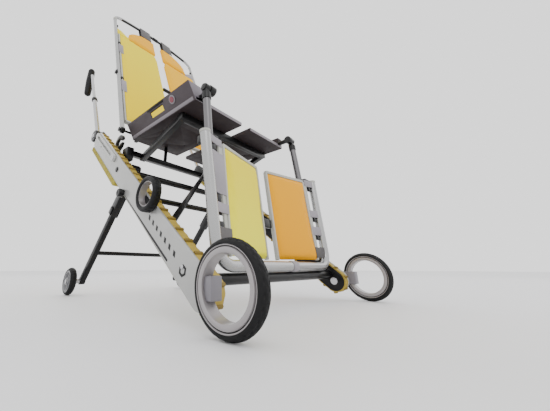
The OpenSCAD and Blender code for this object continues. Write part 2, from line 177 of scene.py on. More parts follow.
def grained(name, color, rough, metallic=0.0, coat=0.0, spread=0.06, grain=900, bump=0.12,
            **more):
    """Paint, plastic or rubber with a fine grain, slight clouding and uneven gloss."""
    m, tree, s = shader(name, color, rough, metallic, coat, **more)
    here = coordinates(tree)
    tinted(tree, s, noise(tree, here, 14), color, spread)
    varied_roughness(tree, s, noise(tree, here, 60), rough * 0.8, min(1, rough * 1.25))
    bumped(tree, s, noise(tree, here, grain, 2.0), bump, GRAIN_DEPTH)
    return m


def brushed(name, color, rough, stretch=(40, 40, 2)):
    """Drawn metal tube with faint lines along one axis."""
    m, tree, s = shader(name, color, rough, metallic=0.85)
    tinted(tree, s, noise(tree, coordinates(tree), 10), color, 0.05)
    lines = noise(tree, coordinates(tree, stretch), 30, 5.0, 0.7)
    varied_roughness(tree, s, lines, rough * 0.75, rough * 1.35)
    bumped(tree, s, lines, 0.06, GRAIN_DEPTH)
    return m


def woven(name, low, high, bottom, top, rough=0.42):
    """Coated fabric: a fine weave, and a colour that drifts from height bottom to top."""
    m, tree, s = shader(name, high, rough, spec=0.06)
    place = add(tree, "ShaderNodeTexCoord")
    split = add(tree, "ShaderNodeSeparateXYZ")
    tree.links.new(place.outputs["Object"], split.inputs["Vector"])
    height = add(tree, "ShaderNodeMapRange")
    height.inputs["From Min"].default_value = bottom
    height.inputs["From Max"].default_value = top
    tree.links.new(split.outputs["Z"], height.inputs["Value"])
    cloud = noise(tree, coordinates(tree), 5)
    mixed = add(tree, "ShaderNodeMath", operation="MULTIPLY_ADD")
    tree.links.new(cloud, mixed.inputs[0])
    mixed.inputs[1].default_value = 0.3
    tree.links.new(height.outputs["Result"], mixed.inputs[2])
    shade = ramp(tree, mixed.outputs[0], [(0.1, low), (1.0, high)])
    tree.links.new(shade, s.inputs["Base Color"])
    threads = []
    for band in ("X", "Z"):
        w = add(tree, "ShaderNodeTexWave", bands_direction=band, Scale=260, Distortion=0.6)
        tree.links.new(coordinates(tree), w.inputs["Vector"])
        threads.append(w.outputs["Fac"])
    weave = add(tree, "ShaderNodeMath", operation="MAXIMUM")
    tree.links.new(threads[0], weave.inputs[0])
    tree.links.new(threads[1], weave.inputs[1])
    varied_roughness(tree, s, noise(tree, coordinates(tree), 40), rough * 0.85, rough * 1.2)
    bumped(tree, s, weave.outputs[0], 0.1, 0.0003)
    return m


MATERIALS = {
    "cover_silver": grained("cover_silver", (0.40, 0.40, 0.39), 0.30, 0.35, 0.3, 0.04, 1400, 0.05),
    "track_rubber": grained("track_rubber", (0.42, 0.30, 0.045), 0.62, spread=0.22, bump=0.4),
    "lug_rubber": grained("lug_rubber", (0.20, 0.135, 0.02), 0.7, spread=0.2, bump=0.4),
    "bumper_rubber": grained("bumper_rubber", (0.36, 0.30, 0.03), 0.6, spread=0.15, bump=0.35),
    "black_rubber": grained("black_rubber", (0.006, 0.006, 0.007), 0.48, spread=0.2, bump=0.3,
                            spec=DULL),
    "tyre_rubber": grained("tyre_rubber", (0.005, 0.005, 0.0055), 0.55, spread=0.25, bump=0.4,
                           spec=DULL),
    "frame_black": grained("frame_black", (0.004, 0.004, 0.0045), 0.36, 0.1, 0.15, 0.2, 1200,
                           0.1, spec=DULL),
    "knob_plastic": grained("knob_plastic", (0.005, 0.005, 0.0055), 0.3, coat=0.2, spread=0.2,
                            spec=DULL),
    "bright_metal": brushed("bright_metal", (0.48, 0.48, 0.49), 0.2),
    "beam_alloy": brushed("beam_alloy", (0.6, 0.6, 0.6), 0.35),
    "hub_alloy": grained("hub_alloy", (0.31, 0.29, 0.295), 0.33, 0.35, 0.2, 0.05, 1300, 0.06),
    "bracket_grey": grained("bracket_grey", (0.19, 0.18, 0.20), 0.4, 0.3, spread=0.06),
    "rear_rim_grey": grained("rear_rim_grey", (0.24, 0.24, 0.25), 0.4, spread=0.08),
    "pulley_plastic": grained("pulley_plastic", (0.06, 0.06, 0.06), 0.45, spread=0.15),
    "hand_bar": grained("hand_bar", (0.44, 0.44, 0.42), 0.32, 0.1, 0.3, 0.05),
    "seat_shell": grained("seat_shell", (0.022, 0.015, 0.017), 0.6, spread=0.12, bump=0.25,
                          spec=0.2),
    "seat_edge": grained("seat_edge", (0.20, 0.18, 0.20), 0.45, 0.1, spread=0.06),
    "side_box_grey": grained("side_box_grey", (0.062, 0.05, 0.056), 0.55, spread=0.1, bump=0.2,
                             spec=0.3),
    "box_end_grey": grained("box_end_grey", (0.17, 0.15, 0.175), 0.42, spread=0.08),
    "button_red": grained("button_red", (0.18, 0.012, 0.03), 0.22, coat=0.5, spread=0.1,
                          bump=0.03),
    "tube_silver": brushed("tube_silver", (0.38, 0.38, 0.38), 0.26),
    # painted shade: the hanger is silver like the leg tube, and this darker brushed metal stands
    # for the shade on it
    "hanger_shaded_silver": brushed("hanger_shaded_silver", (0.16, 0.155, 0.16), 0.32),
    "edge_grey": grained("edge_grey", (0.40, 0.40, 0.36), 0.55, spread=0.08),
    "tab_grey": grained("tab_grey", (0.27, 0.25, 0.275), 0.62, spread=0.12, bump=0.4),
    "tab_dark": grained("tab_dark", (0.075, 0.07, 0.07), 0.6, spread=0.15, bump=0.4),
    "yellow": woven("yellow", (0.82, 0.58, 0.0), (0.82, 0.66, 0.0), 0.5, 1.3),
    "lime": woven("lime", (0.86, 0.82, 0.04), (0.80, 0.66, 0.0), 0.1, 0.4, 0.36),
    "orange": woven("orange", (0.82, 0.35, 0.0), (0.82, 0.40, 0.0), 0.1, 1.3),
    "amber": woven("amber", (0.82, 0.37, 0.0), (0.82, 0.45, 0.0), 0.5, 1.3),
}


# ---- mesh helpers ----

def make(name, verts, faces, matrix=HERE, side=1):
    """A mesh object whose place is in its vertices; side -1 mirrors it to the right."""
    points = [matrix @ Vector(v) for v in verts]
    if side < 0:
        points = [Vector((-p.x, p.y, p.z)) for p in points]
    mesh = bpy.data.meshes.new(name)
    mesh.from_pydata([tuple(p) for p in points], [], faces)
    bm = bmesh.new()
    bm.from_mesh(mesh)
    bmesh.ops.remove_doubles(bm, verts=bm.verts, dist=1e-6)
    bmesh.ops.recalc_face_normals(bm, faces=bm.faces)
    bm.to_mesh(mesh)
    bm.free()
    obj = bpy.data.objects.new(name, mesh)
    bpy.context.collection.objects.link(obj)
    return obj


def smooth(obj, angle=35):
    """Smooth shading with sharp edges kept where faces meet at more than angle."""
    mesh = obj.data
    limit = math.radians(angle)
    bm = bmesh.new()
    bm.from_mesh(mesh)
    for f in bm.faces:
        f.smooth = True
    for e in bm.edges:
        if len(e.link_faces) == 2:
            e.smooth = e.calc_face_angle(0) < limit
    bm.to_mesh(mesh)
    bm.free()
    return obj


def apply_modifiers(obj):
    graph = bpy.context.evaluated_depsgraph_get()
    mesh = bpy.data.meshes.new_from_object(obj.evaluated_get(graph))
    obj.modifiers.clear()
    obj.data = mesh
    return obj


def bevelled(obj, width, segments=3, angle=30):
    b = obj.modifiers.new("bevel", "BEVEL")
    b.width = width
    b.segments = segments
    b.limit_method = "ANGLE"
    b.angle_limit = math.radians(angle)
    apply_modifiers(obj)
    return smooth(obj)


def dress(obj, body, material):
    """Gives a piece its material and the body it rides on."""
    obj.data.materials.clear()
    obj.data.materials.append(MATERIALS[material])
    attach(obj, body)
    return obj


def prism(name, near, far, matrix=HERE, side=1):
    """A closed solid between two outlines with the same number of points."""
    n = len(near)
    faces = [tuple(range(n)), tuple(range(n, 2 * n))]
    faces += [(i, (i + 1) % n, n + (i + 1) % n, n + i) for i in range(n)]
    return make(name, near + far, faces, matrix, side)


def extrude_x(name, outline, x0, x1, matrix=HERE, side=1, bevel=0.0, segments=3):
    """A solid from an outline of (y, z) points, from x0 to x1."""
    near, far = [(x0, y, z) for y, z in outline], [(x1, y, z) for y, z in outline]
    obj = prism(name, near, far, matrix, side)
    return bevelled(obj, bevel, segments) if bevel else smooth(obj)


def flat_piece(name, outline, y0, y1, matrix, side, bevel):
    """A flat piece from an outline of (x, z), between two depths."""
    near, far = [(x, y0, z) for x, z in outline], [(x, y1, z) for x, z in outline]
    return bevelled(prism(name, near, far, matrix, side), bevel, 2)


def block(name, low, high, matrix=HERE, side=1, bevel=0.002):
    """A box with bevelled edges, from corner low to corner high."""
    outline = [(low[1], low[2]), (high[1], low[2]), (high[1], high[2]), (low[1], high[2])]
    return extrude_x(name, outline, low[0], high[0], matrix, side, bevel)


def arc(centre, radius, start, end, steps):
    """Points on an arc, angles in degrees."""
    points = []
    for i in range(steps + 1):
        a = math.radians(start + (end - start) * i / steps)
        points.append((centre[0] + radius * math.cos(a), centre[1] + radius * math.sin(a)))
    return points


def stadium(length, radius, along=0.0, up=0.0, steps=24):
    """A straight slot's outline: two half circles, length apart."""
    return (arc((along, up), radius, 90, 270, steps)
            + arc((along + length, up), radius, -90, 90, steps))


def ring_strip(name, outer, inner, x0, x1, matrix, side):
    """A closed band between two outlines with the same number of points."""
    n = len(outer)
    verts = []
    for x in (x0, x1):
        verts += [(x, y, z) for y, z in outer] + [(x, y, z) for y, z in inner]
    faces = []
    for i in range(n):
        j = (i + 1) % n
        faces.append((i, j, 2 * n + j, 2 * n + i))
        faces.append((n + i, n + j, 3 * n + j, 3 * n + i))
        faces.append((i, j, n + j, n + i))
        faces.append((2 * n + i, 2 * n + j, 3 * n + j, 3 * n + i))
    return smooth(make(name, verts, faces, matrix, side))


def revolve(name, profile, centre, matrix=HERE, side=1, steps=96, radius_at=None):
    """A closed profile of (x, r) points turned about the X axis through centre (y, z).

    radius_at changes the radius of profile point i at turn step k, for treads and lobes.
    """
    verts, faces = [], []
    n = len(profile)
    for k in range(steps):
        a = 2 * math.pi * k / steps
        for i, (x, r) in enumerate(profile):
            if radius_at:
                r = radius_at(i, k, r)
            verts.append((x, centre[0] + r * math.cos(a), centre[1] + r * math.sin(a)))
    for k in range(steps):
        m = (k + 1) % steps
        for i in range(n):
            j = (i + 1) % n
            faces.append((k * n + i, k * n + j, m * n + j, m * n + i))
    return smooth(make(name, verts, faces, matrix, side))


def spindle(name, profile, centre, matrix=HERE, side=1, steps=48):
    """A solid of revolution about X from an open profile of (x, r), closed at both ends."""
    verts, faces = [], []
    n = len(profile)
    for k in range(steps):
        a = 2 * math.pi * k / steps
        for x, r in profile:
            verts.append((x, centre[0] + r * math.cos(a), centre[1] + r * math.sin(a)))
    for k in range(steps):
        m = (k + 1) % steps
        for i in range(n - 1):
            faces.append((k * n + i, k * n + i + 1, m * n + i + 1, m * n + i))
    faces.append(tuple(k * n for k in range(steps)))
    faces.append(tuple(k * n + n - 1 for k in range(steps)))
    return smooth(make(name, verts, faces, matrix, side))


def sweep(name, path, radius, matrix=HERE, side=1, steps=28, squash=1.0):
    """A round tube along a path of points, closed at both ends. radius may be a list."""
    path = [Vector(p) for p in path]
    radii = radius if isinstance(radius, list) else [radius] * len(path)
    verts, faces = [], []
    normal = None
    for i, p in enumerate(path):
        ahead = path[min(i + 1, len(path) - 1)] - path[max(i - 1, 0)]
        ahead.normalize()
        if normal is None:
            normal = ahead.orthogonal()
            if abs(ahead.x) < 0.9:
                normal = Vector((1, 0, 0)) - ahead * ahead.x
        normal = (normal - ahead * normal.dot(ahead)).normalized()
        other = ahead.cross(normal)
        for k in range(steps):
            a = 2 * math.pi * k / steps
            offset = normal * math.cos(a) + other * math.sin(a) * squash
            verts.append(p + offset * radii[i])
    for i in range(len(path) - 1):
        for k in range(steps):
            m = (k + 1) % steps
            faces.append((i * steps + k, i * steps + m, (i + 1) * steps + m, (i + 1) * steps + k))
    faces.append(tuple(range(steps)))
    last = (len(path) - 1) * steps
    faces.append(tuple(last + k for k in range(steps)))
    return smooth(make(name, verts, faces, matrix, side), 50)


def ribbon(name, path, thickness, z0, z1, matrix, side, bevel=0.0006):
    """A strap of constant thickness that follows a path of (x, y) points, from z0 to z1."""
    left, right = [], []
    for i, p in enumerate(path):
        a = Vector(path[max(i - 1, 0)])
        b = Vector(path[min(i + 1, len(path) - 1)])
        d = (b - a).normalized()
        across = Vector((-d.y, d.x)) * thickness / 2
        left.append(Vector(p) + across)
        right.append(Vector(p) - across)
    outline = left + right[::-1]
    n = len(outline)
    verts = [(p.x, p.y, z0) for p in outline] + [(p.x, p.y, z1) for p in outline]
    faces = []
    half = len(path)
    for layer in (0, n):
        for i in range(half - 1):
            faces.append((layer + i, layer + i + 1, layer + n - 2 - i, layer + n - 1 - i))
    faces += [(i, (i + 1) % n, n + (i + 1) % n, n + i) for i in range(n)]
    return bevelled(make(name, verts, faces, matrix, side), bevel, 2, 50)


FLAT_ANGLE = 0.8    # faces of a CAD node closer than this in degrees are one face


def softened(node, body, material, width=0.0012, segments=2):
    """A copy of a CAD node with rounded edges, which stands for it."""
    source = frame["nodes"][node]
    mesh = source.data.copy()
    bm = bmesh.new()
    bm.from_mesh(mesh)
    bmesh.ops.remove_doubles(bm, verts=bm.verts, dist=1e-5)
    bmesh.ops.dissolve_limit(bm, angle_limit=math.radians(FLAT_ANGLE), verts=bm.verts,
                             edges=bm.edges)
    bm.to_mesh(mesh)
    bm.free()
    obj = bpy.data.objects.new(node + "_shape", mesh)
    bpy.context.collection.objects.link(obj)
    bevelled(obj, width, segments, 40)
    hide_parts(node)
    return dress(obj, body, material)


def repaint(node, material):
    """Gives a CAD node that keeps its own shape a finished material."""
    obj = frame["nodes"][node]
    for s in obj.material_slots:
        s.link = "OBJECT"
        s.material = MATERIALS[material]


# ---- track arms ----

def track_outline(radius, rib, steps=420):
    """Points round a belt; rib lowers every other group of points by that much."""
    half = math.pi * radius
    total = 2 * ARM_LEN + 2 * half
    points = []
    for i in range(steps):
        s = total * i / steps
        r = radius - (rib if i % 4 in (2, 3) else 0)
        if s < ARM_LEN:
            points.append((s, r))
        elif s < ARM_LEN + half:
            a = math.pi / 2 - (s - ARM_LEN) / radius
            points.append((ARM_LEN + r * math.cos(a), r * math.sin(a)))
        elif s < 2 * ARM_LEN + half:
            points.append((ARM_LEN - (s - ARM_LEN - half), -r))
        else:
            a = -math.pi / 2 - (s - 2 * ARM_LEN - half) / radius
            points.append((r * math.cos(a), r * math.sin(a)))
    return points


BELT_R, BELT_INNER_R, BELT_RIB = 0.0315, 0.0266, 0.0009
LUG_PITCH, LUGS_PER_RUN, LUG_INSET = 0.038, 20, 0.0006
INLAY_DEPTH, INLAY_LIFT = 0.001, 0.0003     # marks, below and above the cover's face
STRUT_KNOB_ALONG, STRUT_KNOB_UP = 0.389, -0.027


def lug_outline(radius):
    low, high = radius - 0.0008, radius + 0.0034
    return [(-0.004, low), (0.004, low), (0.0024, high), (-0.0024, high)]


def turned(outline, along, angle):
    """An outline turned by angle about the origin, then moved along the arm."""
    c, s = math.cos(angle), math.sin(angle)
    return [(along + c * y - s * z, s * y + c * z) for y, z in outline]


def track(side, tag):
    belt = ring_strip(f"belt_{tag}", track_outline(BELT_R, BELT_RIB),
                      track_outline(BELT_INNER_R, 0), *TRACK_X, ARM, side)
    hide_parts(f"track_{tag}")
    dress(belt, "chassis", "track_rubber")
    outline = lug_outline(BELT_R)
    shapes = []
    for i in range(LUGS_PER_RUN):
        along = min(LUG_PITCH / 2 + LUG_PITCH * i, ARM_LEN)
        shapes += [turned(outline, along, angle) for angle in (0, math.pi)]
    for end, first in ((0, 30), (ARM_LEN, -150)):
        shapes += [turned(outline, end, math.radians(first + a)) for a in (0, 60, 120)]
    low, high = TRACK_X[0] + LUG_INSET, TRACK_X[1] - LUG_INSET
    lugs = [extrude_x(f"lug_{i}", shape, low, high, ARM, side, 0.0006, 2)
            for i, shape in enumerate(shapes)]
    dress(joined(lugs, f"lugs_{tag}"), "chassis", "lug_rubber")


def joined(objects, name):
    """One object out of several that share a material."""
    bm = bmesh.new()
    for o in objects:
        bm.from_mesh(o.data)
    mesh = bpy.data.meshes.new(name)
    bm.to_mesh(mesh)
    bm.free()
    for o in objects:
        bpy.data.objects.remove(o)
    result = bpy.data.objects.new(name, mesh)
    bpy.context.collection.objects.link(result)
    return smooth(result)


def cover(side, tag):
    """An arm's outer cover with a black strip of painted shade along its lower part, its seam and
    its row of marks.
    """
    shell = extrude_x(f"cover_{tag}", stadium(ARM_LEN, 0.0312, 0, 0.0015, 40), *COVER_X,
                      ARM, side, 0.0026, 4)
    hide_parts(f"arm_cover_{tag}")
    dress(shell, "chassis", "cover_silver")
    face = COVER_X[1]
    low, high = face - INLAY_DEPTH, face + INLAY_LIFT
    # painted shade: a flat black strip on the cover's face stands for the shadowed gap between the
    # cover and the inner plate
    tilt = Matrix.Rotation(math.radians(-1.2), 4, "X")
    groove = ARM @ Matrix.Translation((0, 0.105, -0.021)) @ tilt
    gap_shade = extrude_x(f"cover_gap_shade_{tag}", stadium(0.27, 0.0024), low, face + 0.0002, groove,
                      side)
    dress(gap_shade, "chassis", "frame_black")
    seam = extrude_x(f"cover_strip_{tag}", stadium(0.66, 0.0007, 0.05, -0.0262), low, high,
                     ARM, side)
    dress(seam, "chassis", "edge_grey")
    marks = []
    for i in range(7):
        a = 0.088 + 0.021 * i
        outline = [(a, -0.003), (a + 0.008, -0.003), (a + 0.013, 0.006), (a + 0.005, 0.006)]
        marks.append(extrude_x(f"mark_{i}", outline, low, high, ARM, side))
    outer, inner = (arc((0.055, -0.004), r, 0, 360, 6)[:6] for r in (0.011, 0.006))
    ring = ring_strip("mark_ring", outer, inner, low, high, ARM, side)
    dress(joined(marks + [ring], f"cover_marks_{tag}"), "chassis", "frame_black")


def bumper(side, tag):
    """A ribbed rubber strip under an arm, with a lip over the cover's lower edge."""
    low, high, start = -0.0443, -0.0353, 0.47
    base = block(f"bumper_{tag}", (0.255, start, low), (COVER_X[0], 0.785, high), ARM, side,
                 0.0015)
    dress(base, "chassis", "bumper_rubber")
    lip = block(f"bumper_lip_{tag}", (COVER_X[0] - 0.001, start, low),
                (COVER_X[1], 0.76, -0.0298), ARM, side, 0.0015)
    dress(lip, "chassis", "bumper_rubber")
    ribs = []
    for i in range(30):
        a = 0.473 + 0.0102 * i
        ribs.append(block(f"rib_{i}", (0.256, a, low - 0.0008),
                          (COVER_X[1] + 0.001, a + 0.005, -0.0308), ARM, side, 0.0006))
    dress(joined(ribs, f"bumper_ribs_{tag}"), "chassis", "bumper_rubber")
    return base


def ring_grip(side, tag):
    """A ribbed rubber ring on an arm's outer face, with a metal liner."""
    centre = (0.2455 + AXLE.y, 0.243)
    wall = [(0.2835, 0.0284), (0.2835, 0.0400), (0.2845, 0.0407), (0.2965, 0.0407)]
    nose = [(0.297 + 0.0058 * math.sin(a), 0.03465 + 0.0060 * math.cos(a))
            for a in (math.radians(turn) for turn in range(10, 171, 20))]
    grip = revolve(f"grip_rubber_{tag}", wall + nose + [(0.2965, 0.0284)], centre, HERE, side, 144,
                   lambda i, k, r: r - (0.0006 if 1 <= i <= 5 and k % 6 in (4, 5) else 0))
    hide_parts(f"ring_grip_{tag}")
    dress(grip, "chassis", "black_rubber")
    profile = [(0.2832, 0.0273), (0.2832, 0.0288), (0.2992, 0.0288), (0.2992, 0.0273)]
    liner = revolve(f"grip_liner_{tag}", profile, centre, HERE, side, 96)
    dress(liner, "chassis", "hub_alloy")
    foot = block(f"grip_foot_{tag}", (COVER_X[1] - 0.0005, 0.228, 0.008),
                 (0.2842, 0.272, 0.030), ARM, side, 0.0012)
    dress(foot, "chassis", "black_rubber")


def knob(name, along, perp, x0, x1, r, side):
    """A lobed knob on the outer face of an arm."""
    profile = [(x0, r * 0.8), (x0 + 0.002, r), (x1 - 0.002, r), (x1, r * 0.82), (x1, r * 0.4),
               (x1 - 0.001, r * 0.3), (x1 - 0.001, 0.0004), (x0, 0.0004)]

    def lobe(i, k, v):
        return v * (1 - 0.07 * (i in (1, 2, 3)) * (1 + math.cos(k * math.pi / 5)) / 2)

    obj = revolve(name, profile, (along, perp), ARM, side, 60, lobe)
    return dress(obj, "chassis", "knob_plastic")


for tag, side in SIDES:
    cover(side, tag)
    track(side, tag)
    bumper(side, tag)
    ring_grip(side, tag)
    knob(f"strut_knob_{tag}", STRUT_KNOB_ALONG, STRUT_KNOB_UP, COVER_X[1], 0.2958, 0.0115, side)
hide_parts("bumpers")
softened("inner_plates", "chassis", "frame_black", 0.0008)
softened("arm_knobs", "chassis", "knob_plastic", 0.0012)
softened("brace", "chassis", "frame_black")
softened("cradle_frame", "chassis", "frame_black", 0.0015)
softened("cradle_rear_bar", "chassis", "frame_black", 0.0015)
softened("dock_hooks", "chassis", "frame_black", 0.0012)
softened("cover_screws", "chassis", "bright_metal", 0.0005)
for node in ("cross_bars", "front_bar"):
    repaint(node, "frame_black")
repaint("arm_beams", "beam_alloy")
repaint("pulley_axles", "bright_metal")
for tag, side in SIDES:
    repaint(f"nose_pulley_{tag}", "pulley_plastic")
    repaint(f"top_pulley_{tag}", "pulley_plastic")
    softened(f"patient_bar_{tag}", f"patient_bar_{tag}", "hand_bar", 0.0011)


# ---- front wheels ----

FRONT_X, FRONT_TYRE_R, FRONT_TYRE_INNER_R = 0.297, 0.065, 0.056
REAR_X, REAR_TYRE_R, REAR_TYRE_INNER_R = 0.2465, 0.0446, 0.036
TYRE_STEPS = 14


def tyre_profile(x, r_out, r_in, half, crown, steps=TYRE_STEPS):
    """Outline of a tyre: sides at half width, then an arc of radius crown over the tread."""
    shoulder = r_out - crown + math.sqrt(crown ** 2 - half ** 2)
    points = [(x - half, r_in), (x - half, shoulder)]
    for i in range(1, steps):
        a = math.asin(half / crown) * (2 * i / steps - 1)
        points.append((x + crown * math.sin(a), r_out - crown + crown * math.cos(a)))
    return points + [(x + half, shoulder), (x + half, r_in)]


def mirrored(half, x):
    """A closed profile of (x, r) from its half on one side of a plane at x."""
    return half + [(2 * x - a, r) for a, r in half[::-1]]


def front_wheel(side, tag):
    """A tyre and rim that turn, round a fixed hub ring, which is returned."""
    x, centre = FRONT_X, (AXLE.y, AXLE.z)
    body = f"front_wheel_{tag}"
    profile = tyre_profile(x, FRONT_TYRE_R, FRONT_TYRE_INNER_R, 0.0114, 0.013)
    last = len(profile) - 1

    def tread(i, k, r):
        """Slanted cuts over the tread, and a groove on each side of its middle."""
        middle = last // 2
        depth = 0.0011 if 3 <= i <= last - 3 and (k + 2 * abs(i - middle)) % 8 < 2 else 0
        return r - depth - (0.0009 if i in (middle - 2, middle + 3) else 0)

    tyre = revolve(f"tyre_front_{tag}", profile, centre, HERE, side, 192, tread)
    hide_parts(f"front_tyre_{tag}")
    dress(tyre, body, "tyre_rubber")
    rim = [(x - 0.0096, 0.0492), (x - 0.0100, 0.0502), (x - 0.0100, 0.0520),
           (x - 0.0086, 0.0524), (x - 0.0086, 0.0536), (x - 0.0104, 0.0540),
           (x - 0.0108, 0.0552), (x - 0.0102, 0.0560)]
    wheel = revolve(f"rim_front_{tag}", mirrored(rim, x), centre, HERE, side, 128)
    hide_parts(f"front_rim_{tag}")
    dress(wheel, body, "hub_alloy")
    for face, sign in (("out", 1), ("in", -1)):
        a = x + sign * 0.0086
        b = a + sign * 0.0003
        line = revolve(f"rim_groove_{face}_{tag}",
                       [(a, 0.0525), (b, 0.0525), (b, 0.0536), (a, 0.0536)], centre, HERE, side,
                       96)
        dress(line, body, "tyre_rubber")
    hub = [(x - 0.0106, 0.0440), (x - 0.0113, 0.0452), (x - 0.0115, 0.0500),
           (x - 0.0110, 0.0514), (x - 0.0104, 0.0512), (x - 0.0103, 0.0490)]
    ring = revolve(f"hub_{tag}", mirrored(hub, x), centre, HERE, side, 128)
    return dress(ring, "chassis", "hub_alloy")


hubs = [front_wheel(side, tag) for tag, side in SIDES]
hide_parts("hub_rings")
softened("wheel_brackets", "chassis", "bracket_grey", 0.002, 3)


# ---- struts and rear wheels ----

softened("upper_struts", "strut_frame", "frame_black", 0.0018)
softened("lower_legs", "lower_leg_frame", "frame_black", 0.0018)
repaint("leg_bar", "frame_black")
repaint("rear_axles", "bright_metal")
for tag, side in SIDES:
    softened(f"rear_rim_{tag}", f"rear_wheel_{tag}", "rear_rim_grey", 0.0008)
    profile = tyre_profile(REAR_X, REAR_TYRE_R, REAR_TYRE_INNER_R, 0.0105, 0.011)
    tyre = revolve(f"tyre_rear_{tag}", profile, (REAR_AXLE.y, REAR_AXLE.z), HERE, side, 144,
                   lambda i, k, r: r - (0.0008 if 3 <= i <= 13 and k % 6 < 2 else 0))
    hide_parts(f"rear_tyre_{tag}")
    dress(tyre, f"rear_wheel_{tag}", "tyre_rubber")
    lock = block(f"strut_lock_{tag}", (0.2165, 0.150, -0.009), (0.2225, 0.176, 0.009), STRUT,
                 side, 0.002)
    dress(lock, "strut_frame", "knob_plastic")


# ---- staff handles ----

STAFF_X = 0.265
GRIP_LOW = Vector((STAFF_X, 0.993 + AXLE.y, 0.925))
GRIP_HIGH = Vector((STAFF_X, 1.0 + AXLE.y, 1.062))
GRIP_LEN, GRIP_OVER, GRIP_ROUND, GRIP_STEPS = 0.171, 0.017, 0.016, 70


def staff(side, tag):
    """A clamp on the arm, its chrome sleeve and the rubber grip; returns the clamp."""
    centre = (CLAMP.y, CLAMP.z)
    profile = [(0.2534, 0.0225), (0.2550, 0.0240), (0.2800, 0.0240), (0.2826, 0.0222),
               (0.2830, 0.0180), (0.2822, 0.0120)]
    clamp = spindle(f"staff_clamp_{tag}", profile, centre, HERE, side)
    dress(clamp, "chassis", "frame_black")
    profile = [(0.2820, 0.0085), (0.2842, 0.0085), (0.2850, 0.0070)]
    bolt = spindle(f"clamp_bolt_{tag}", profile, centre, HERE, side, 24)
    dress(bolt, "chassis", "bright_metal")
    sleeve = sweep(f"staff_chrome_{tag}", [(STAFF_X, 0, z) for z in (0.015, 0.12, 0.27)],
                   0.0095, STAFF, side, 40)
    dress(sleeve, "chassis", "bright_metal")
    axis = (GRIP_HIGH - GRIP_LOW).normalized()
    points, radii = [], []
    for i in range(GRIP_STEPS + 1):
        t = i / GRIP_STEPS
        z = t * GRIP_LEN - GRIP_OVER
        r = 0.0170 - 0.0011 * math.cos(2 * math.pi * t) - 0.0005 * (i % 4 in (1, 2))
        reach = min(z + GRIP_OVER, GRIP_LEN - GRIP_OVER - z)
        if reach < GRIP_ROUND:
            r *= math.sqrt(max(1 - (1 - reach / GRIP_ROUND) ** 2, 0.02))
        points.append(GRIP_LOW + axis * z)
        radii.append(r)
    grip = sweep(f"staff_handle_grip_{tag}", points, radii, HERE, side, 36)
    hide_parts(f"staff_grip_{tag}")
    dress(grip, f"staff_handle_{tag}", "black_rubber")
    repaint(f"staff_tube_{tag}", "bright_metal")
    return clamp


clamps = [staff(side, tag) for tag, side in SIDES]
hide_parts("staff_sleeves")
softened("staff_collars", "chassis", "knob_plastic", 0.0012)


# ---- seat ----

for tag, side in SIDES:
    softened(f"seat_{tag}", "scoop", "seat_shell", 0.0016)
    low = (SEAT_LOW.x + 0.0005, SEAT_LOW.y - 0.0012, SEAT_LOW.z + 0.001)
    strip = block(f"seat_edge_{tag}", low, (0.2125, SEAT_LOW.y + 0.003, SEAT_TOP - 0.0012),
                  HERE, side, 0.0008)
    dress(strip, "scoop", "seat_edge")
    ribs = []
    for i in range(6):
        x = 0.045 + 0.026 * i
        ribs.append(block(f"rib_{i}", (x, SEAT_LOW.y + 0.03, SEAT_TOP - 0.001),
                          (x + 0.012, SEAT_LOW.y + 0.30, SEAT_TOP + 0.0008), HERE, side, 0.0007))
    dress(joined(ribs, f"seat_ribs_{tag}"), "scoop", "seat_shell")

BOX_LEAN = math.atan2(0.028, 0.048)
FACE = (Matrix.Translation((-0.213, AXLE.y, 0.507))
        @ Matrix.Rotation(-math.pi / 2 - BOX_LEAN, 4, "Y"))
BOX_END = [(-0.2125, 0.5085), (-0.2395, 0.5535), (-0.1985, 0.5535), (-0.174, 0.5195),
           (-0.174, 0.5085)]


def on_face(name, y0, y1, u0, u1, lift, material):
    """A flat strip on the box's outer face: Y from the axle, u up the face."""
    corners = [(u, y, z) for u in (u0, u1) for y in (y0, y1) for z in (-0.001, lift)]
    faces = [(0, 1, 3, 2), (4, 5, 7, 6), (0, 1, 5, 4), (2, 3, 7, 6), (0, 2, 6, 4), (1, 3, 7, 5)]
    strip = bevelled(make(name, corners, faces, FACE), 0.0008, 2)
    return dress(strip, "scoop", material)


softened("side_box", "scoop", "side_box_grey", 0.0025, 3)
on_face("box_band", 0.196, 0.517, 0.002, 0.0115, 0.0008, "seat_edge")
on_face("box_grip_band", 0.31, 0.395, 0.047, 0.0545, 0.0014, "black_rubber")
box_end = flat_piece("box_end", BOX_END, BOX_FRONT - 0.0012, BOX_FRONT + 0.002, HERE, 1, 0.0008)
dress(box_end, "scoop", "box_end_grey")
bezel_at = FACE @ Matrix.Translation((0.036, 0.271, 0)) @ Matrix.Rotation(math.pi / 2, 4, "Y")
bezel = revolve("button_bezel", [(-0.003, 0.0084), (-0.003, 0.0115), (-0.0022, 0.0125),
                                 (-0.0012, 0.0125), (-0.0012, 0.0084)], (0, 0), bezel_at, 1, 48)
dress(bezel, "scoop", "seat_edge")
repaint("push_button", "button_red")
softened("leg_stubs", "scoop", "knob_plastic", 0.0018, 3)
softened("back_lugs", "scoop", "frame_black", 0.001)


# ---- soft goods ----

PAD_VOXEL, PAD_SWELL, PAD_FRAMES = 0.0055, 0.0045, 20


